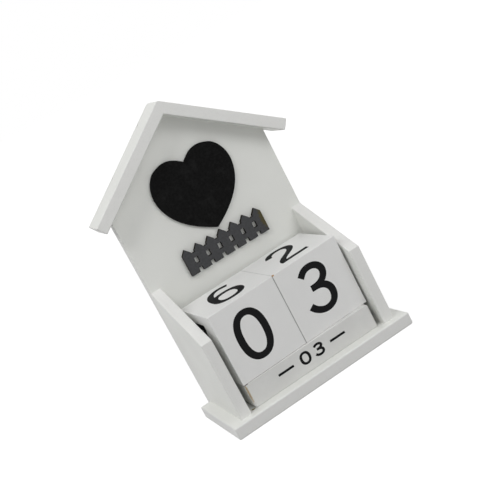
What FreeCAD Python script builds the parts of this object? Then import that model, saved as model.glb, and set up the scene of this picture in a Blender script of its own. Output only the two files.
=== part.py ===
"""Perpetual desk calendar in the shape of a small house, in millimetres, +Z up, +X to the right.

Painted boards make the case: a base, two side panels, a gable-shaped back panel and two roof boards.
Two loose date cubes stand on three loose month bars between the side panels. A thin heart and a
laser-cut fence strip are glued to the gable. Headed brads, sunk under the paint, hold the boards.
The origin is on the underside, in the middle of the overall width and depth.
"""

import FreeCAD, Part

import math
import os

from FreeCAD import Placement, Rotation, Vector

# Date cubes and month bars
cube_side = 40.0
cube_count = 2
bar_count = 3
cube_round = 0.3
cube_gap = 0.1
cube_step = 0.1
pair_angle = 2.5
pair_shift = 1.1
bar_shortfall = 1.6
bar_round = 0.25
bar_end_round = 1.8
bar_gap = 0.1
bar_shift = 0.5

# Tray between the side panels
tray_play = 4.8
tray_room = 5.3
block_setback = 7.2
lift_clearance = 0.3
slide_clearance = 0.05

# Base board
base_thickness = 6.8
base_margin = 6.4
base_round = 0.9

# Side panels
side_thickness = 6.3
side_setback = 4.9
side_front_height = 43.6
side_rear_height = 67.5
board_round = 0.5

# Back panel and roof
back_thickness = 6.3
wall_height = 119.5
roof_pitch = 35.0
roof_thickness = 6.3
roof_length = 71.9
roof_depth = 18.1
ridge_round = 2.0

# Heart plaque, glued to the gable a little to the right of its middle
heart_shift = 0.5
heart_width = 47.8
heart_height = 44.1
heart_drop = 67.0
heart_thickness = 1.5

# Fence plaque, glued on below the heart
fence_shift = 0.3
fence_width = 50.0
fence_height = 14.7
fence_drop = 1.1
fence_thickness = 2.1
picket_count = 7
picket_gap = 2.3
picket_point = 2.8
rail_height = 2.6
lower_rail = 2.4
upper_rail = 8.4

# Brads
brad_width = 1.0
brad_head_width = 1.8
brad_head_height = 0.6
brad_length = 15.0
brad_sink = 0.3
brad_end_distance = 12.0
roof_brad_from_ridge = 14.0
roof_brad_spacing = 30.0
base_brad_spacing = 35.0

# Points closer than this to a plane lie on it
touch = 0.001

# Sizes and places that follow from the ones above
bar_side = cube_side / bar_count
pair_width = cube_side * cube_count
bar_length = pair_width - bar_shortfall
inner_half_width = (pair_width + tray_play) / 2
outer_half_width = inner_half_width + side_thickness
base_half_width = outer_half_width + base_margin
base_depth = block_setback + cube_side + tray_room
overall_depth = base_depth + back_thickness
front_y = -overall_depth / 2
back_front_y = front_y + base_depth
rear_y = front_y + overall_depth
block_front_y = front_y + block_setback
bar_bottom = base_thickness + slide_clearance
cube_bottom = bar_bottom + bar_side
side_middle_x = inner_half_width + side_thickness / 2
side_front_y = front_y + side_setback
pitch = math.radians(roof_pitch)
peak_height = wall_height + outer_half_width * math.tan(pitch)
ridge_height = peak_height + roof_thickness / math.cos(pitch)
heart_bottom = peak_height - heart_drop
fence_bottom = heart_bottom - fence_drop - fence_height

# The cubes stand side by side as a turned pair, clear of the fence strip's right end when they are lifted
turn = math.radians(pair_angle)
pair_left = pair_shift - pair_width / 2
rear_slant = (fence_shift + fence_width / 2 - pair_left) * math.tan(turn)
pair_depth = (cube_side + cube_step) / math.cos(turn)
pair_front_y = back_front_y - fence_thickness - lift_clearance - rear_slant - pair_depth

# Corner and handle points of half the heart, from the cleft over the lobe and down to the tip, as
# shares of its half width and of its height above the tip
lobe_shares = ((0.0, 0.89), (0.25, 1.01), (0.43, 1.02), (0.67, 0.97))
shoulder_shares = ((0.67, 0.97), (0.87, 0.93), (1.0, 0.79), (1.0, 0.66))
flank_shares = ((1.0, 0.66), (0.99, 0.38), (0.59, 0.16), (0.0, 0.0))


def box(low, high):
    """A block between its lowest and highest corners."""
    size = high - low
    return Part.makeBox(size.x, size.y, size.z, low)


def prism(points, sweep):
    """A closed outline of points, swept along a vector."""
    outline = Part.makePolygon(list(points) + [points[0]])
    return Part.Face(outline).extrude(sweep)


def lies_on(edge, plane):
    """True if both ends of an edge lie on a plane, given as a point and a normal."""
    point, normal = plane
    return all(abs((vertex.Point - point).dot(normal)) < touch for vertex in edge.Vertexes)


def ease(shape, radius, seats=()):
    """Round every edge of a board, except those that lie on a seat, where it meets another board."""
    edges = [edge for edge in shape.Edges if not any(lies_on(edge, seat) for seat in seats)]
    return shape.makeFillet(radius, edges)


def rounded_along(axis, size, radius):
    """A block that starts at the origin, with its four edges along one axis rounded."""
    block = box(Vector(0, 0, 0), size)
    edges = [edge for edge in block.Edges if abs(edge.tangentAt(edge.FirstParameter).dot(axis)) > touch]
    return block.makeFillet(radius, edges)


def mirrored(shape):
    """The same piece on the other side of the house."""
    return shape.mirror(Vector(0, 0, 0), Vector(1, 0, 0))


def place(point, direction):
    """A placement at a point on a board's face, with its Z axis along the way a brad is driven."""
    return Placement(point, Rotation(Vector(0, 0, 1), direction))


def square_rod(width, across, start, length):
    """A rod of rectangular section that runs along Z from a height."""
    low = Vector(-width / 2, -across / 2, start)
    return box(low, low + Vector(width, across, length))


def brad(spot):
    """A headed brad, driven until its head lies a little under the face."""
    head = square_rod(brad_head_width, brad_width, brad_sink, brad_head_height)
    shank = square_rod(brad_width, brad_width, brad_sink, brad_length)
    pin = head.fuse(shank).removeSplitter()
    pin.Placement = spot
    return pin


def brad_hole(spot):
    """The hole that a brad leaves: the brad itself and the dimple over its head."""
    dimple = square_rod(brad_head_width, brad_width, 0, brad_sink)
    dimple.Placement = spot
    return brad(spot).fuse(dimple).removeSplitter()


def pierced(board, spots):
    """A board with the holes of the brads that pass through it."""
    for spot in spots:
        board = board.cut(brad_hole(spot))
    return board


def back_brad_spots():
    """Where brads go forward through the back panel, into the side panels and the base."""
    low = base_thickness + brad_end_distance
    high = base_thickness + side_rear_height - brad_end_distance
    points = [Vector(side * side_middle_x, rear_y, z) for side in (-1, 1) for z in (low, high)]
    middle = base_thickness / 2
    points += [Vector(step * base_brad_spacing, rear_y, middle) for step in (-1, 0, 1)]
    return [place(point, Vector(0, -1, 0)) for point in points]


def base_brad_spots():
    """Where brads go up through the base into the side panels."""
    near = side_front_y + brad_end_distance
    far = back_front_y - brad_end_distance
    points = [Vector(side * side_middle_x, y, 0) for side in (-1, 1) for y in (near, far)]
    return [place(point, Vector(0, 0, 1)) for point in points]


def roof_brad_spots(side):
    """Where brads go down through one roof board into the edge of the gable."""
    middle_y = back_front_y + back_thickness / 2
    ridge = Vector(0, middle_y, ridge_height)
    down_slope = Vector(side * math.cos(pitch), 0, -math.sin(pitch))
    inward = Vector(-side * math.sin(pitch), 0, -math.cos(pitch))
    runs = (roof_brad_from_ridge, roof_brad_from_ridge + roof_brad_spacing)
    return [place(ridge + down_slope * run, inward) for run in runs]


def base_board():
    """The board that the house stands on."""
    low = Vector(-base_half_width, front_y, 0)
    high = Vector(base_half_width, back_front_y, base_thickness)
    board = ease(box(low, high), base_round)
    return pierced(board, base_brad_spots() + back_brad_spots())


def side_panel(side):
    """A side board, whose top edge falls from the gable towards the front."""
    rear_top = base_thickness + side_rear_height
    front_top = base_thickness + side_front_height
    corners = (
        (side_front_y, base_thickness),
        (back_front_y, base_thickness),
        (back_front_y, rear_top),
        (side_front_y, front_top),
    )
    points = [Vector(inner_half_width, y, z) for y, z in corners]
    board = prism(points, Vector(side_thickness, 0, 0))
    on_base = (Vector(0, 0, base_thickness), Vector(0, 0, 1))
    on_back = (Vector(0, back_front_y, 0), Vector(0, 1, 0))
    board = ease(board, board_round, (on_base, on_back))
    board = mirrored(board) if side < 0 else board
    return pierced(board, base_brad_spots() + back_brad_spots())


def back_panel():
    """The gable-shaped board behind the base and the side panels."""
    corners = (
        (-outer_half_width, 0),
        (outer_half_width, 0),
        (outer_half_width, wall_height),
        (0, peak_height),
        (-outer_half_width, wall_height),
    )
    points = [Vector(x, back_front_y, z) for x, z in corners]
    board = prism(points, Vector(0, back_thickness, 0))
    peak = Vector(0, 0, peak_height)
    slopes = [(peak, Vector(side * math.sin(pitch), 0, math.cos(pitch))) for side in (-1, 1)]
    board = ease(board, board_round, slopes)
    return pierced(board, back_brad_spots() + roof_brad_spots(-1) + roof_brad_spots(1))


def roof_board(side):
    """Half of the roof: a board mitred at the ridge, whose outer edge there is rounded over."""
    down_slope = Vector(math.cos(pitch), 0, -math.sin(pitch))
    inward = Vector(-math.sin(pitch), 0, -math.cos(pitch))
    ridge = Vector(0, rear_y - roof_depth, ridge_height)
    centre = ridge - Vector(0, 0, ridge_round / math.cos(pitch))
    top = centre + Vector(0, 0, ridge_round)
    halfway = centre + Vector(math.sin(pitch / 2), 0, math.cos(pitch / 2)) * ridge_round
    tangent = centre - inward * ridge_round
    eave = ridge + down_slope * roof_length
    eave_under = eave + inward * roof_thickness
    ridge_under = ridge - Vector(0, 0, roof_thickness / math.cos(pitch))
    round_over = Part.Arc(top, halfway, tangent).toShape()
    straights = Part.makePolygon([tangent, eave, eave_under, ridge_under, top])
    outline = Part.Wire([round_over] + straights.Edges)
    board = Part.Face(outline).extrude(Vector(0, roof_depth, 0))
    mitre = (Vector(0, 0, 0), Vector(1, 0, 0))
    board = ease(board, board_round, (mitre,))
    board = mirrored(board) if side < 0 else board
    return pierced(board, roof_brad_spots(side))


def heart_curve(shares, side):
    """One curve of the heart's outline."""
    curve = Part.BezierCurve()
    tip = Vector(heart_shift, back_front_y, heart_bottom)
    half_width = side * heart_width / 2
    curve.setPoles([tip + Vector(x * half_width, 0, z * heart_height) for x, z in shares])
    return curve.toShape()


def heart_plaque():
    """The thin heart on the gable."""
    pieces = (lobe_shares, shoulder_shares, flank_shares)
    edges = [heart_curve(shares, side) for side in (1, -1) for shares in pieces]
    outline = Part.Wire(Part.__sortEdges__(edges))
    return Part.Face(outline).extrude(Vector(0, -heart_thickness, 0))


def picket(left, width):
    """A pointed picket of the fence strip."""
    bottom, top = fence_bottom, fence_bottom + fence_height
    shoulder = top - picket_point
    corners = (
        (left, bottom),
        (left + width, bottom),
        (left + width, shoulder),
        (left + width / 2, top),
        (left, shoulder),
    )
    points = [Vector(x, back_front_y, z) for x, z in corners]
    return prism(points, Vector(0, -fence_thickness, 0))


def fence_plaque():
    """A strip of pointed pickets and two rails, cut from one sheet."""
    width = (fence_width - (picket_count - 1) * picket_gap) / picket_count
    start = fence_shift - fence_width / 2
    pickets = [picket(start + step * (width + picket_gap), width) for step in range(picket_count)]
    rails = []
    for height in (lower_rail, upper_rail):
        low = Vector(start, back_front_y - fence_thickness, fence_bottom + height)
        rails.append(box(low, low + Vector(fence_width, fence_thickness, rail_height)))
    return pickets[0].multiFuse(pickets[1:] + rails).removeSplitter()


def date_cube(order):
    """A loose cube on the month bars. The pair stands a little askew, counted from the left."""
    cube = ease(box(Vector(0, 0, 0), Vector(cube_side, cube_side, cube_side)), cube_round)
    rightward = Vector(math.cos(turn), math.sin(turn), 0)
    inward = Vector(-math.sin(turn), math.cos(turn), 0)
    pair_corner = Vector(pair_left, pair_front_y, cube_bottom)
    corner = pair_corner + (rightward * (cube_side + cube_gap) + inward * cube_step) * order
    cube.Placement = Placement(corner, Rotation(Vector(0, 0, 1), pair_angle))
    return cube


def month_bar(step):
    """A loose bar under the cubes, counted from the front. Its ends are rounded more than its long edges."""
    size = Vector(bar_length, bar_side, bar_side)
    lengthways = rounded_along(Vector(1, 0, 0), size, bar_round)
    across = rounded_along(Vector(0, 1, 0), size, bar_end_round)
    upright = rounded_along(Vector(0, 0, 1), size, bar_end_round)
    bar = lengthways.common(across).common(upright).removeSplitter()
    y = block_front_y + step * (bar_side + bar_gap)
    bar.translate(Vector(bar_shift - bar_length / 2, y, bar_bottom))
    return bar


def brads(spots):
    """A group of equal brads."""
    return Part.makeCompound([brad(spot) for spot in spots])


def sub_parts():
    """Every node's name and shape."""
    return {
        "base_board": base_board(),
        "back_panel": back_panel(),
        "left_side_panel": side_panel(-1),
        "right_side_panel": side_panel(1),
        "left_roof_board": roof_board(-1),
        "right_roof_board": roof_board(1),
        "heart_plaque": heart_plaque(),
        "fence_plaque": fence_plaque(),
        "left_date_cube": date_cube(0),
        "right_date_cube": date_cube(1),
        "front_month_bar": month_bar(0),
        "middle_month_bar": month_bar(1),
        "rear_month_bar": month_bar(2),
        "back_brads": brads(back_brad_spots()),
        "base_brads": brads(base_brad_spots()),
        "roof_brads": brads(roof_brad_spots(-1) + roof_brad_spots(1)),
    }


os.makedirs("parts", exist_ok=True)
for name, shape in sub_parts().items():
    shape.exportStep("parts/" + name + ".step")
    volume = sum(solid.Volume for solid in shape.Solids)
    print(name, len(shape.Solids), "solid(s),", round(volume), "mm3, valid", shape.isValid())
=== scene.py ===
"""A house-shaped perpetual desk calendar: painted boards, a black heart, a grey fence strip, and loose
blocks with printed numbers. Lengths are in metres, +Z up, +X to the right, with the front towards -Y.
"""

import math

import bpy
import bmesh
from mathutils import Matrix, Vector


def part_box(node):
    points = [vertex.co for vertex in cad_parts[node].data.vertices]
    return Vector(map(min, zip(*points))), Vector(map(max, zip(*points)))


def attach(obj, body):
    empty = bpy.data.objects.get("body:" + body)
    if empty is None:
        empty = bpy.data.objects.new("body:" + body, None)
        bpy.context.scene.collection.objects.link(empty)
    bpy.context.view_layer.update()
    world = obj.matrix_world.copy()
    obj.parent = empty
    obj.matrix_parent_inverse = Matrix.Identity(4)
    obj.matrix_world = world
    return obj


# Camera
eye = Vector((-0.14743, -0.49847, 0.20235))
aim = Vector((0.00356, 0.0, 0.07222))
camera_roll = math.radians(27.68)
camera_lens = 74.86
sensor_width = 36.0

# The cubes stand turned as a pair, and the roof boards slope down to both sides
pair_angle = math.radians(2.5)
roof_slope = math.radians(35.0)

# Printed digits: the large ones on the cubes and the small ones on the bars
digit_size = (0.0189, 0.0276)
digit_pen = (0.0040, 0.0035)
top_digit_size = (0.0184, 0.0284)
number_width = 0.0064
number_height = 0.0071
number_pen = (0.0015, 0.0013)
number_rise = 0.0010
number_gap = 0.0019
dash_length = 0.0095
dash_gap = 0.0042
ink_height = 0.00002
ink_depth = 0.00004

# Where the large digits stand on a cube's face, from its lower left corner to the digit's middle
front_left_place = (0.0175, 0.0202)
front_right_place = (0.0187, 0.0215)
top_left_place = (0.0199, 0.0202)
top_right_place = (0.0196, 0.0217)
plain_place = (0.0195, 0.0205)

# What is printed on the faces of the blocks
left_digits = {"front": "0", "top": "6", "left": "7", "right": "1", "back": "8", "bottom": "2"}
right_digits = {"front": "3", "top": "2", "left": "5", "right": "4", "back": "0", "bottom": "1"}
bar_months = {
    "front": {"front": 3, "top": 4, "back": 1, "bottom": 2},
    "middle": {"front": 5, "top": 6, "back": 7, "bottom": 8},
    "rear": {"front": 9, "top": 10, "back": 11, "bottom": 12},
}

# Points on a curved stroke and round a ring
curve_steps = 14
ring_steps = 56
ring_power = 2.3

# Worn spots, and one spot of painted shade: how far the middle of each lies from a corner, and how far it
# reaches along X, Y and Z
glue_offset = (-0.0012, 0.0010)
glue_reach = (0.0012, 0.0009, 0.0008)
scorch_reach = (0.0022, 0.0030, 0.0060)
chip_inset = 0.0005
chip_reach = (0.0009, 0.0009, 0.0007)
wear_offset = Vector((0.0004, 0.0004, 0.0085))
wear_reach = (0.0006, 0.0006, 0.0062)
# Painted shade: a dark red-brown spot in the gap under the left cube's corner
gap_shade_offset = Vector((0.0012, 0.0006, 0.0133))
gap_shade_reach = (0.0016, 0.0010, 0.0004)

# Dust and painted shade in the seams between blocks: how far from the seam it starts and is full, and how
# strong it is
seam_start = 0.0003
seam_full = 0.0001
pair_seam_share = 0.7
bar_seam_share = 0.6

# Floor and world: the floor glows from one strength to the other between two distances
floor_half = 4.0
floor_colour = (0.5, 0.5, 0.5)
near_glow = 0.75
far_glow = 1.0
glow_reach = (0.25, 1.2)
ambient_strength = 0.25
white = (1.0, 1.0, 1.0)

# Softboxes: the azimuth and elevation of each lamp in degrees, its distance, its side and its power
lamp_target = Vector((0.0, 0.0, 0.07))
lamps = {
    "left_softbox": (-90.0, 45.0, 0.9, 0.5, 2.3),
    "left_front_softbox": (-45.0, 50.0, 0.9, 0.2, 1.35),
    "front_softbox": (0.0, 30.0, 0.9, 0.5, 0.6),
    "right_front_softbox": (30.0, 30.0, 0.9, 0.5, 1.9),
    "right_softbox": (90.0, 45.0, 0.9, 0.5, 0.9),
    "back_softbox": (180.0, 45.0, 0.9, 0.5, 0.4),
}


# A digit's strokes as Bezier points in shares of the box that its strokes' middle lines fill. The two
# flags say whether each end runs on by half a pen's width, to the digit's outer edge.
def stroke(shares, start=False, end=False):
    """A stroke of a digit."""
    return {"shares": shares, "start": start, "end": end}


def line(a, b, start=False, end=False):
    """A straight stroke."""
    a, b = Vector(a), Vector(b)
    return stroke((a, a.lerp(b, 1 / 3), a.lerp(b, 2 / 3), b), start, end)


def ring(centre, half_size):
    """A closed round stroke."""
    return {"centre": Vector(centre), "half_size": half_size}


six_stem_shares = (
    (0.957, 0.926), (0.837, 0.955), (0.724, 1.0), (0.59, 1.0),
    (0.206, 1.0), (0.0, 0.73), (0.0, 0.39),
    (0.0, 0.36), (0.0, 0.32), (0.0, 0.294),
)
nine_stem_shares = tuple((1 - x, 1 - y) for x, y in six_stem_shares)

digit_shares = {
    "0": [ring((0.5, 0.5), (0.5, 0.5))],
    "1": [line((0.62, 0.0), (0.62, 1.0), True, True), line((0.14, 0.72), (0.62, 0.93))],
    "2": [
        stroke((
            (0.036, 0.744), (0.083, 0.90), (0.268, 1.0), (0.507, 1.0),
            (0.785, 1.0), (0.944, 0.916), (0.944, 0.768),
            (0.944, 0.658), (0.831, 0.564), (0.679, 0.473),
            (0.44, 0.334), (0.056, 0.203), (0.056, 0.0),
        )),
        line((0.056, 0.0), (0.954, 0.0), True, True),
    ],
    "3": [
        stroke((
            (0.123, 0.863), (0.243, 0.939), (0.332, 1.0), (0.558, 1.0),
            (0.817, 1.0), (0.983, 0.899), (0.983, 0.79),
            (0.983, 0.669), (0.79, 0.556), (0.505, 0.546),
            (0.44, 0.544), (0.37, 0.543), (0.306, 0.543),
        )),
        stroke((
            (0.306, 0.543), (0.37, 0.543), (0.44, 0.543), (0.505, 0.541),
            (0.784, 0.531), (1.0, 0.43), (1.0, 0.273),
            (1.0, 0.107), (0.817, 0.0), (0.545, 0.0),
            (0.312, 0.0), (0.093, 0.105), (0.0, 0.212),
        )),
    ],
    "4": [
        line((0.60, 1.0), (0.03, 0.235), True),
        line((0.03, 0.235), (1.0, 0.235), True, True),
        line((0.76, 0.50), (0.76, 0.0), False, True),
    ],
    "5": [
        line((0.12, 1.0), (0.92, 1.0), True, True),
        line((0.12, 1.0), (0.07, 0.52)),
        stroke((
            (0.07, 0.52), (0.18, 0.60), (0.32, 0.63), (0.48, 0.63),
            (0.80, 0.63), (1.0, 0.50), (1.0, 0.315),
            (1.0, 0.13), (0.79, 0.0), (0.50, 0.0),
            (0.28, 0.0), (0.10, 0.07), (0.0, 0.18),
        )),
    ],
    "6": [ring((0.5, 0.294), (0.5, 0.294)), stroke(six_stem_shares)],
    "7": [line((0.0, 1.0), (0.96, 1.0), True, True), line((0.96, 1.0), (0.30, 0.0), False, True)],
    "8": [ring((0.5, 0.775), (0.43, 0.225)), ring((0.5, 0.275), (0.5, 0.275))],
    "9": [ring((0.5, 0.706), (0.5, 0.294)), stroke(nine_stem_shares)],
}


def bezier_points(poles):
    """Points along a chain of cubic Bezier curves, which share their end points."""
    points = [poles[0]]
    for first in range(0, len(poles) - 1, 3):
        a, b, c, d = poles[first:first + 4]
        for step in range(1, curve_steps + 1):
            t = step / curve_steps
            u = 1 - t
            points.append(a * u**3 + b * 3 * u * u * t + c * 3 * u * t * t + d * t**3)
    return points


def ring_points(centre, half_size):
    """Points round a closed stroke, a little squarer than an ellipse."""
    points = []
    for step in range(ring_steps):
        angle = math.tau * step / ring_steps
        x, y = math.cos(angle), math.sin(angle)
        x = math.copysign(abs(x) ** (2 / ring_power), x)
        y = math.copysign(abs(y) ** (2 / ring_power), y)
        points.append(centre + Vector((x * half_size[0], y * half_size[1])))
    return points


def pen_reach(direction, pen):
    """Half the width that an oval pen draws across a direction."""
    return math.hypot(direction.x * pen[0], direction.y * pen[1]) / 2


def edges_of_stroke(points, pen, closed):
    """The left and right edge of a stroke drawn along points."""
    left, right = [], []
    last = len(points) - 1
    for index, point in enumerate(points):
        before = points[index - 1] if closed or index > 0 else point
        after = points[(index + 1) % len(points)] if closed or index < last else point
        along = (after - before).normalized()
        across = Vector((-along.y, along.x))
        offset = across * pen_reach(across, pen)
        left.append(point + offset)
        right.append(point - offset)
    return left, right


def stroke_solid(points, pen, closed):
    """A stroke as a thin closed solid that reaches from just below the plane z = 0 to just above it."""
    left, right = edges_of_stroke(points, pen, closed)
    mesh = bmesh.new()
    rows = []
    for a, b in zip(left, right):
        corners = ((a, ink_height), (b, ink_height), (b, -ink_depth), (a, -ink_depth))
        rows.append([mesh.verts.new((p.x, p.y, z)) for p, z in corners])
    spans = list(zip(rows, rows[1:] + rows[:1])) if closed else list(zip(rows, rows[1:]))
    for here, there in spans:
        for side in range(4):
            turn = (side + 1) % 4
            mesh.faces.new((here[side], here[turn], there[turn], there[side]))
    if not closed:
        mesh.faces.new(rows[0])
        mesh.faces.new(rows[-1])
    bmesh.ops.recalc_face_normals(mesh, faces=mesh.faces)
    data = bpy.data.meshes.new("stroke")
    mesh.to_mesh(data)
    mesh.free()
    return bpy.data.objects.new("stroke", data)


def run_on(points, pen, start, end):
    """A stroke's points with its ends moved out to the digit's outer edge, where flags say so."""
    points = list(points)
    if start:
        out = (points[0] - points[1]).normalized()
        points[0] = points[0] + out * pen_reach(out, pen)
    if end:
        out = (points[-1] - points[-2]).normalized()
        points[-1] = points[-1] + out * pen_reach(out, pen)
    return points


def joined_solid(solids):
    """One clean mesh from solids that overlap. The solids are used up."""
    scene = bpy.context.scene
    for solid in solids:
        scene.collection.objects.link(solid)
    first = solids[0]
    for other in solids[1:]:
        union = first.modifiers.new("union", "BOOLEAN")
        union.operation = "UNION"
        union.solver = "EXACT"
        union.object = other
    bpy.context.view_layer.update()
    graph = bpy.context.evaluated_depsgraph_get()
    mesh = bpy.data.meshes.new_from_object(first.evaluated_get(graph))
    for solid in solids:
        bpy.data.objects.remove(solid)
    return mesh


def digit_mesh(digit, width, height, pen):
    """A digit as thin solid strokes, centred on the origin."""
    size = Vector((width - pen[0], height - pen[1]))
    corner = -size / 2
    solids = []
    for part in digit_shares[digit]:
        if "centre" in part:
            centre = corner + part["centre"] * size
            half_size = [share * length for share, length in zip(part["half_size"], size)]
            solids.append(stroke_solid(ring_points(centre, half_size), pen, True))
        else:
            points = bezier_points([corner + Vector(share) * size for share in part["shares"]])
            points = run_on(points, pen, part["start"], part["end"])
            solids.append(stroke_solid(points, pen, False))
    return joined_solid(solids)


def dash_mesh(centre_x):
    """A short printed dash beside a number."""
    half = dash_length / 2
    points = [Vector((centre_x - half, 0.0)), Vector((centre_x + half, 0.0))]
    return joined_solid([stroke_solid(points, number_pen, False)])


def number_mesh(month):
    """A month's number with a dash on each side, centred on the origin."""
    step = (number_width + number_gap) / 2
    parts = []
    for digit, x in zip(f"{month:02d}", (-step, step)):
        mesh = digit_mesh(digit, number_width, number_height, number_pen)
        mesh.transform(Matrix.Translation((x, 0, 0)))
        parts.append(mesh)
    reach = step + number_width / 2 + dash_gap + dash_length / 2
    parts += [dash_mesh(-reach), dash_mesh(reach)]
    whole = bmesh.new()
    for mesh in parts:
        whole.from_mesh(mesh)
        bpy.data.meshes.remove(mesh)
    joined = bpy.data.meshes.new("number")
    whole.to_mesh(joined)
    whole.free()
    return joined


def face_frames(node, angle):
    """A block's six faces, as a lower left corner, a way to the right and a way up, and its size."""
    turn = Matrix.Rotation(angle, 3, "Z")
    axes = [turn @ Vector(axis) for axis in ((1, 0, 0), (0, 1, 0), (0, 0, 1))]
    points = [vertex.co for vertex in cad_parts[node].data.vertices]
    spans = [[point.dot(axis) for point in points] for axis in axes]
    corner = sum((axis * min(span) for axis, span in zip(axes, spans)), Vector())
    size = Vector([max(span) - min(span) for span in spans])
    x, y, z = axes
    ax, ay, az = x * size.x, y * size.y, z * size.z
    faces = {
        "front": (corner, x, z),
        "right": (corner + ax, y, z),
        "back": (corner + ax + ay, -x, z),
        "left": (corner + ay, -y, z),
        "top": (corner + az, x, y),
        "bottom": (corner + ay, x, -y),
    }
    return faces, size


def coat(mesh, material):
    """One material all over a mesh."""
    mesh.materials.clear()
    mesh.materials.append(material)


def print_on(mesh, name, face, place, body, ink):
    """A printed mark on a block's face, placed by the distances from the face's lower left corner."""
    corner, right, up = face
    out = right.cross(up)
    origin = corner + right * place[0] + up * place[1]
    turn = Matrix((right, up, out)).transposed().to_4x4()
    mesh.transform(Matrix.Translation(origin) @ turn)
    mesh.name = name
    coat(mesh, ink)
    mark = bpy.data.objects.new(name, mesh)
    bpy.context.scene.collection.objects.link(mark)
    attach(mark, body)


def print_cube(side, digits, front_place, top_place, ink):
    """The digits of one date cube, one on each face."""
    faces, size = face_frames(f"{side}_date_cube", pair_angle)
    places = {"front": front_place, "top": top_place}
    for face, digit in digits.items():
        width, height = top_digit_size if face == "top" else digit_size
        mesh = digit_mesh(digit, width, height, digit_pen)
        place = places.get(face, plain_place)
        print_on(mesh, f"{side}_cube_digit_{face}", faces[face], place, f"{side}_cube", ink)


def print_bar(step, months, ink):
    """The numbers of one month bar, one on each long face."""
    faces, size = face_frames(f"{step}_month_bar", 0.0)
    across = {"front": size.z, "top": size.y, "back": size.z, "bottom": size.y}
    for face, month in months.items():
        place = (size.x / 2, across[face] / 2 + number_rise)
        print_on(number_mesh(month), f"{step}_bar_number_{face}", faces[face], place, f"{step}_bar", ink)


class Graph:
    """The node tree of a material or of the world, built by short calls."""

    def __init__(self, owner):
        owner.use_nodes = True
        self.tree = owner.node_tree
        self.tree.nodes.clear()

    def feed(self, socket, value):
        """Another node's output goes into a socket, or a number, a vector or a colour."""
        if isinstance(value, bpy.types.NodeSocket):
            self.tree.links.new(value, socket)
        elif socket.type == "RGBA":
            socket.default_value = (*value, 1.0)
        else:
            socket.default_value = value

    def add(self, kind, inputs, **settings):
        """A node with its settings and inputs."""
        made = self.tree.nodes.new(kind)
        for key, value in settings.items():
            setattr(made, key, value)
        for key, value in inputs.items():
            self.feed(made.inputs[key], value)
        return made

    def coords(self):
        """The place and the normal in the object's own space."""
        made = self.add("ShaderNodeTexCoord", {})
        return made.outputs["Object"], made.outputs["Normal"]

    def maths(self, operation, *values):
        """The result of a Math node."""
        return self.add("ShaderNodeMath", dict(enumerate(values)), operation=operation).outputs[0]

    def vector(self, operation, *values):
        """The vector that a Vector Math node gives."""
        made = self.add("ShaderNodeVectorMath", dict(enumerate(values)), operation=operation)
        return made.outputs["Vector"]

    def measure(self, operation, *values):
        """The number that a Vector Math node gives, such as a length."""
        made = self.add("ShaderNodeVectorMath", dict(enumerate(values)), operation=operation)
        return made.outputs["Value"]

    def noise(self, place, scale, detail, roughness):
        """The grey value of a noise."""
        inputs = {"Vector": place, "Scale": scale, "Detail": detail, "Roughness": roughness}
        return self.add("ShaderNodeTexNoise", inputs).outputs["Fac"]

    def fade(self, value, span, ends=(0.0, 1.0)):
        """A value mapped from a span to its two ends, and held there."""
        inputs = {"From Min": span[0], "From Max": span[1], "To Min": ends[0], "To Max": ends[1]}
        return self.add("ShaderNodeMapRange", {"Value": value, **inputs}).outputs[0]

    def blend(self, share, a, b):
        """A colour between two colours."""
        return self.add("ShaderNodeMix", {0: share, 6: a, 7: b}, data_type="RGBA").outputs[2]

    def bump(self, height, distance, strength, normal=None):
        """A normal from a height, with the distance that a height of 1 stands for."""
        inputs = {"Height": height, "Distance": distance, "Strength": strength}
        if normal is not None:
            inputs["Normal"] = normal
        return self.add("ShaderNodeBump", inputs).outputs[0]

    def surface(self, colour, roughness, normal, **values):
        """The shader of a surface, and the output."""
        inputs = {"Base Color": colour, "Roughness": roughness, "Normal": normal}
        inputs.update({key.replace("_", " "): value for key, value in values.items()})
        shader = self.add("ShaderNodeBsdfPrincipled", inputs)
        self.add("ShaderNodeOutputMaterial", {"Surface": shader.outputs[0]})


def new_graph(name):
    """A fresh material and its graph."""
    material = bpy.data.materials.new(name)
    return material, Graph(material)


# In the values of the materials, a noise is its cells in a metre, its detail and its roughness. A relief
# is the depth that a height of 1 stands for, and its strength. A span is where a fade starts and ends.
middle_span = (0.3, 0.7)
fading = (1.0, 0.0)

# Worn spots, with a frayed rim, and one spot of painted shade
bare_wood = (0.52, 0.40, 0.25)
chipped_wood = (0.45, 0.27, 0.12)
olive_glue = (0.20, 0.17, 0.08)
scorched_paint = (0.085, 0.072, 0.035)
# Painted shade in the gap under the left cube's corner
gap_shade_colour = (0.05, 0.015, 0.015)
fray_noise = (1300.0, 4.0, 0.65)
fray_share = 0.35
rim_span = (0.8, 1.1)


def wear_and_shade_spot(graph, place, centre, reach):
    """A share that is 1 in a spot of a given reach along X, Y and Z, with a frayed rim."""
    away = graph.vector("SUBTRACT", place, centre)
    distance = graph.measure("LENGTH", graph.vector("DIVIDE", away, reach))
    fray = graph.fade(graph.noise(place, *fray_noise), middle_span, (-fray_share, fray_share))
    return graph.fade(graph.maths("ADD", distance, fray), rim_span, fading)


def with_spots(graph, place, colour, spots):
    """A colour with spots over it, such as wear, glue, scorch and painted shade."""
    for centre, reach, shade in spots:
        colour = graph.blend(wear_and_shade_spot(graph, place, centre, reach), colour, shade)
    return colour


# Seam dust and painted shade: it lies where a block's rounded edge turns away from the neighbour, and is
# weaker on faces that turn up to the light
seam_dust_and_shade = (0.16, 0.16, 0.15)
round_span = (0.9, 0.99)
upward_span = (0.1, 0.6)
upward_share = 0.35


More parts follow.
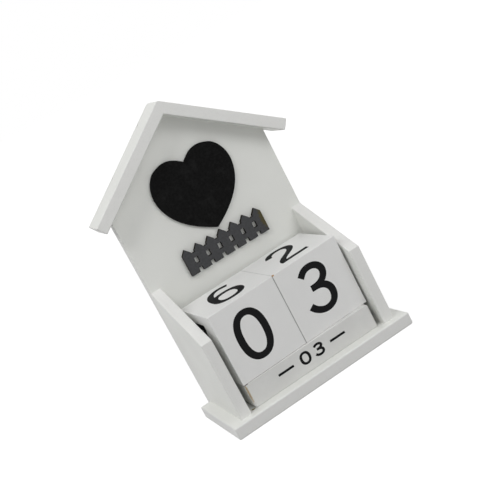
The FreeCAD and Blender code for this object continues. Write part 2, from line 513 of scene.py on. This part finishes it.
def seam_dust_and_shade_share(graph, place, normal, axis, limit):
    """A share of dust and painted shade that is 1 on a block's rounded edge beside its neighbour, at a
    limit along an axis.
    """
    near_span = (limit - seam_start, limit - seam_full)
    near = graph.fade(graph.measure("DOT_PRODUCT", place, axis), near_span)
    rounded = graph.fade(graph.measure("DOT_PRODUCT", normal, axis), round_span, fading)
    # Painted shade: the seam darkens less on faces that turn up towards the light
    upward = graph.add("ShaderNodeSeparateXYZ", {0: normal}).outputs["Z"]
    rubbing_and_light = graph.fade(upward, upward_span, (1.0, upward_share))
    return graph.maths("MULTIPLY", graph.maths("MULTIPLY", near, rounded), rubbing_and_light)


# Painted boards
paint_colour = (0.845, 0.852, 0.818)
shaded_paint = (0.825, 0.832, 0.798)
sawn_paint = (0.82, 0.82, 0.80)
# The base's edges: the sawn edges' tone, and painted shade on the base's upright faces
base_sawn_paint_and_shade = (0.79, 0.79, 0.775)
grit_colour = (0.70, 0.70, 0.68)
board_cloud = (45.0, 3.0, 0.55)
board_speck = (900.0, 4.0, 0.55)
board_peel = (1400.0, 2.0, 0.55)
sawn_span = (0.5, 0.95)
grit_span = (0.5, 0.75)
grit_share = 0.25
peel_relief = (0.00002, 0.5)
fuzz_relief = (0.00005, 0.4)
board_roughness = (0.42, 0.52)


def board_paint(name, face_normal, edge_colour, spots=()):
    """Sprayed satin paint on a fibreboard, rougher and a little darker on the sawn edges."""
    material, graph = new_graph(name)
    place, normal = graph.coords()
    facing = graph.maths("ABSOLUTE", graph.measure("DOT_PRODUCT", normal, face_normal))
    edge = graph.fade(facing, sawn_span, fading)
    cloud = graph.noise(place, *board_cloud)
    speck = graph.noise(place, *board_speck)
    colour = graph.blend(graph.fade(cloud, middle_span), paint_colour, shaded_paint)
    colour = graph.blend(edge, colour, edge_colour)
    grit = graph.maths("MULTIPLY", edge, graph.fade(speck, grit_span, (0.0, grit_share)))
    colour = graph.blend(grit, colour, grit_colour)
    colour = with_spots(graph, place, colour, spots)
    peel = graph.bump(graph.noise(place, *board_peel), *peel_relief)
    fuzz = graph.bump(graph.maths("MULTIPLY", speck, edge), *fuzz_relief, peel)
    graph.surface(colour, graph.fade(cloud, middle_span, board_roughness), fuzz)
    return material


# Cubes and bars
cube_colour = (0.83, 0.83, 0.82)
shaded_cube = (0.81, 0.81, 0.80)
bar_colour = (0.755, 0.755, 0.738)
shaded_bar = (0.70, 0.70, 0.683)
block_cloud = (70.0, 3.0, 0.55)
block_mottle = (380.0, 4.0, 0.55)
block_peel = (1200.0, 2.0, 0.55)
mottle_span = (0.55, 0.75)
mottle_share = 0.5
block_roughness = (0.4, 0.5)


def block_paint(name, pale, dark, spots=(), seams=()):
    """Satin paint on a solid wood block, in two close tones, with spots of wear and painted shade, and
    dust and painted shade along the seams.
    """
    material, graph = new_graph(name)
    place, normal = graph.coords()
    cloud = graph.noise(place, *block_cloud)
    mottle = graph.fade(graph.noise(place, *block_mottle), mottle_span, (0.0, mottle_share))
    colour = graph.blend(graph.fade(cloud, middle_span), pale, dark)
    colour = graph.blend(mottle, colour, dark)
    for axis, limit, share in seams:
        # Dust and painted shade darken the seams between the blocks
        seam_dust_and_shade_amount = graph.maths("MULTIPLY", seam_dust_and_shade_share(graph, place, normal, axis, limit), share)
        colour = graph.blend(seam_dust_and_shade_amount, colour, seam_dust_and_shade)
    colour = with_spots(graph, place, colour, spots)
    peel = graph.bump(graph.noise(place, *block_peel), *peel_relief)
    graph.surface(colour, graph.fade(cloud, middle_span, block_roughness), peel)
    return material


# Heart
board_black = (0.003, 0.003, 0.003)
fibre_black = (0.009, 0.009, 0.009)
rubbed_black = (0.018, 0.018, 0.018)
heart_fibre = (800.0, 6.0, 0.7)
heart_rub = (130.0, 6.0, 0.7)
fibre_span = (0.4, 0.7)
rub_span = (0.52, 0.72)
rub_share = 0.6
fibre_relief = (0.0001, 0.7)
heart_roughness = 0.8
heart_gloss = 0.08


def blackboard_paint(name):
    """Matt black board with a faint fibrous look."""
    material, graph = new_graph(name)
    place = graph.coords()[0]
    fibre = graph.noise(place, *heart_fibre)
    colour = graph.blend(graph.fade(fibre, fibre_span), board_black, fibre_black)
    rubbing_and_light = graph.fade(graph.noise(place, *heart_rub), rub_span, (0.0, rub_share))
    colour = graph.blend(rubbing_and_light, colour, rubbed_black)
    normal = graph.bump(fibre, *fibre_relief)
    graph.surface(colour, heart_roughness, normal, Specular_IOR_Level=heart_gloss)
    return material


# Fence strip
strip_colour = (0.058, 0.059, 0.062)
pale_strip = (0.078, 0.079, 0.082)
char_colour = (0.003, 0.003, 0.002)
brown_char = (0.022, 0.017, 0.009)
strip_grain = (900.0, 4.0, 0.55)
cut_span = (0.7, 0.9)
char_span = (0.4, 0.7)
strip_relief = (0.00005, 0.5)
strip_roughness = 0.6
strip_gloss = 0.1


def cutout_paint(name, spots):
    """Dark grey paint on a laser-cut sheet, with charred cut edges and scorched spots."""
    material, graph = new_graph(name)
    place, normal = graph.coords()
    facing = graph.maths("ABSOLUTE", graph.add("ShaderNodeSeparateXYZ", {0: normal}).outputs["Y"])
    edge = graph.fade(facing, cut_span, fading)
    grain = graph.noise(place, *strip_grain)
    face = graph.blend(graph.fade(grain, middle_span), strip_colour, pale_strip)
    face = with_spots(graph, place, face, spots)
    char = graph.blend(graph.fade(grain, char_span), char_colour, brown_char)
    colour = graph.blend(edge, face, char)
    normal = graph.bump(grain, *strip_relief)
    graph.surface(colour, strip_roughness, normal, Specular_IOR_Level=strip_gloss)
    return material


# Brads
brad_cloud = (1500.0, 3.0, 0.55)
brad_span = (0.35, 0.65)
brad_relief = (0.00004, 0.6)
brad_roughness = 0.5


def painted_steel(name):
    """Steel brad with paint over its head."""
    material, graph = new_graph(name)
    cloud = graph.noise(graph.coords()[0], *brad_cloud)
    colour = graph.blend(graph.fade(cloud, brad_span), paint_colour, shaded_paint)
    graph.surface(colour, brad_roughness, graph.bump(cloud, *brad_relief))
    return material


# Ink
ink_colour = (0.004, 0.004, 0.0045)
scuffed_ink = (0.03, 0.03, 0.03)
ink_scuff = (350.0, 5.0, 0.65)
ink_grain = (1800.0, 3.0, 0.55)
scuff_span = (0.66, 0.76)
ink_relief = (0.00001, 0.5)
ink_roughness = 0.6
ink_gloss = 0.1


def printing_ink(name):
    """Black printed ink with faint scuffs."""
    material, graph = new_graph(name)
    place = graph.coords()[0]
    scuff = graph.fade(graph.noise(place, *ink_scuff), scuff_span)
    colour = graph.blend(scuff, ink_colour, scuffed_ink)
    normal = graph.bump(graph.noise(place, *ink_grain), *ink_relief)
    graph.surface(colour, ink_roughness, normal, Specular_IOR_Level=ink_gloss)
    return material


def seen_by_path(graph):
    """A share that is 1 where the camera, a reflection or a transparent thing sees the surface."""
    path = graph.add("ShaderNodeLightPath", {})
    seen = graph.maths("MAXIMUM", path.outputs["Is Camera Ray"], path.outputs["Is Glossy Ray"])
    return graph.maths("MAXIMUM", seen, path.outputs["Is Transmission Ray"])


def floor_paint():
    """A floor that looks white and throws the lamps' light back as a grey. It glows more further out."""
    material, graph = new_graph("floor")
    seen = seen_by_path(graph)
    distance = graph.measure("LENGTH", graph.coords()[0])
    strength = graph.fade(distance, glow_reach, (near_glow, far_glow))
    diffuse = graph.add("ShaderNodeBsdfDiffuse", {"Color": floor_colour})
    glow = graph.add("ShaderNodeEmission", {"Strength": graph.maths("MULTIPLY", seen, strength)})
    both = graph.add("ShaderNodeAddShader", {0: diffuse.outputs[0], 1: glow.outputs[0]})
    graph.add("ShaderNodeOutputMaterial", {"Surface": both.outputs[0]})
    return material


def make_floor():
    """A plain floor that keeps the shadow of what stands on it."""
    corners = [(-floor_half, -floor_half, 0), (floor_half, -floor_half, 0),
               (floor_half, floor_half, 0), (-floor_half, floor_half, 0)]
    mesh = bpy.data.meshes.new("floor")
    mesh.from_pydata(corners, [], [(0, 1, 2, 3)])
    coat(mesh, floor_paint())
    floor = bpy.data.objects.new("floor", mesh)
    bpy.context.scene.collection.objects.link(floor)


def make_world():
    """White where it is seen, and a plain grey that lights the object from all round."""
    world = bpy.data.worlds.new("world")
    bpy.context.scene.world = world
    graph = Graph(world)
    seen = seen_by_path(graph)
    ambient = graph.add("ShaderNodeBackground", {"Color": white, "Strength": ambient_strength})
    backdrop = graph.add("ShaderNodeBackground", {"Color": white, "Strength": 1.0})
    mix = graph.add("ShaderNodeMixShader", {0: seen, 1: ambient.outputs[0], 2: backdrop.outputs[0]})
    graph.add("ShaderNodeOutputWorld", {"Surface": mix.outputs[0]})


def softbox(name, azimuth, elevation, distance, side, power):
    """A square lamp that faces the middle of the object."""
    lamp = bpy.data.lights.new(name, "AREA")
    lamp.size = side
    lamp.energy = power
    holder = bpy.data.objects.new(name, lamp)
    bpy.context.scene.collection.objects.link(holder)
    around, up = math.radians(azimuth), math.radians(elevation)
    way = Vector((math.sin(around) * math.cos(up), -math.cos(around) * math.cos(up), math.sin(up)))
    holder.location = lamp_target + way * distance
    holder.rotation_mode = "QUATERNION"
    holder.rotation_quaternion = way.to_track_quat("Z", "Y")


def make_camera():
    """The camera at the photograph's viewing angle."""
    forward = (aim - eye).normalized()
    level = forward.cross(Vector((0, 0, 1))).normalized()
    upright = level.cross(forward)
    up = upright * math.cos(camera_roll) + level * math.sin(camera_roll)
    right = forward.cross(up)
    data = bpy.data.cameras.new("camera")
    data.lens = camera_lens
    data.sensor_width = sensor_width
    camera = bpy.data.objects.new("camera", data)
    bpy.context.scene.collection.objects.link(camera)
    turn = Matrix((right, up, -forward)).transposed().to_4x4()
    camera.matrix_world = Matrix.Translation(eye) @ turn
    bpy.context.scene.camera = camera


def dress(node, material):
    """A CAD node's finish."""
    coat(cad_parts[node].data, material)


def dress_boards():
    """Paint on the base, the back, the sides and the roof, with a spot of glue beside the front bar."""
    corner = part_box("front_month_bar")[0]
    base_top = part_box("base_board")[1][2]
    glue_place = (corner[0] + glue_offset[0], corner[1] + glue_offset[1], base_top)
    glue = (glue_place, glue_reach, olive_glue)
    # The base's sawn edges are darker still, with painted shade on its upright faces
    dress("base_board", board_paint("base_paint", (0, 0, 1), base_sawn_paint_and_shade, [glue]))
    dress("back_panel", board_paint("panel_paint", (0, 1, 0), sawn_paint))
    side_finish = board_paint("side_paint", (1, 0, 0), sawn_paint)
    dress("left_side_panel", side_finish)
    dress("right_side_panel", side_finish)
    for side, sign in (("left", -1), ("right", 1)):
        slope_normal = (sign * math.sin(roof_slope), 0, math.cos(roof_slope))
        dress(f"{side}_roof_board", board_paint(f"{side}_roof_paint", slope_normal, sawn_paint))


def dress_plaques():
    """Black on the heart, and grey on the fence strip, which is scorched at its right end."""
    dress("heart_plaque", blackboard_paint("heart_paint"))
    low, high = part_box("fence_plaque")
    scorch_place = (high[0], low[1], (low[2] + high[2]) / 2)
    scorch = (scorch_place, scorch_reach, scorched_paint)
    dress("fence_plaque", cutout_paint("fence_paint", [scorch]))


def seam(node, axis, share):
    """The seam where a block ends along an axis, and how strong its dust and painted shade are."""
    limit = max(vertex.co.dot(axis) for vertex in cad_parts[node].data.vertices)
    return axis, limit, share


def dress_cubes():
    """Paint on the cubes, with dust and painted shade in the seams, and a chip at the right one's upper
    left corner.
    """
    across = Vector((math.cos(pair_angle), math.sin(pair_angle), 0))
    down = Vector((0, 0, -1))
    pair_seam = seam("left_date_cube", across, pair_seam_share)
    bar_seam = seam("left_date_cube", down, bar_seam_share)
    left_finish = block_paint("left_cube_paint", cube_colour, shaded_cube, (), [pair_seam, bar_seam])
    dress("left_date_cube", left_finish)
    faces, size = face_frames("right_date_cube", pair_angle)
    corner, right, up = faces["front"]
    chip = (corner + up * size.z + right * chip_inset, chip_reach, chipped_wood)
    other_seam = seam("right_date_cube", -across, pair_seam_share)
    right_finish = block_paint("right_cube_paint", cube_colour, shaded_cube, [chip], [other_seam])
    dress("right_date_cube", right_finish)


def dress_bars():
    """Paint on the bars, worn off along the front bar's left edge, with painted shade above the worn
    line.
    """
    corner = Vector(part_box("front_month_bar")[0])
    wear = (corner + wear_offset, wear_reach, bare_wood)
    # Painted shade in the gap under the left cube's corner, above the worn line
    gap_shade = (corner + gap_shade_offset, gap_shade_reach, gap_shade_colour)
    spots = {"front": [wear, gap_shade], "middle": [], "rear": []}
    for step in bar_months:
        finish = block_paint(f"{step}_bar_paint", bar_colour, shaded_bar, spots[step])
        dress(f"{step}_month_bar", finish)


def dress_brads():
    """Paint on all the brads."""
    finish = painted_steel("brad_paint")
    for group in ("back_brads", "base_brads", "roof_brads"):
        dress(group, finish)


def print_blocks():
    """The digits on the cubes and the month numbers on the bars."""
    ink = printing_ink("ink")
    print_cube("left", left_digits, front_left_place, top_left_place, ink)
    print_cube("right", right_digits, front_right_place, top_right_place, ink)
    for step, months in bar_months.items():
        print_bar(step, months, ink)


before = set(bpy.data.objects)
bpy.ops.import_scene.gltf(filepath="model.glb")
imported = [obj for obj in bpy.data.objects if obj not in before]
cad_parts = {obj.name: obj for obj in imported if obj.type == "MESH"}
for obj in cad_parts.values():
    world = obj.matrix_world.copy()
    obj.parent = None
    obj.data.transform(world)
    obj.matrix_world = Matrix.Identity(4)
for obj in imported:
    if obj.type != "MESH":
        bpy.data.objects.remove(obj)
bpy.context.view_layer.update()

dress_boards()
dress_plaques()
dress_cubes()
dress_bars()
dress_brads()
print_blocks()

make_floor()
make_world()
for name, values in lamps.items():
    softbox(name, *values)
make_camera()
bpy.context.scene.view_settings.view_transform = "Standard"
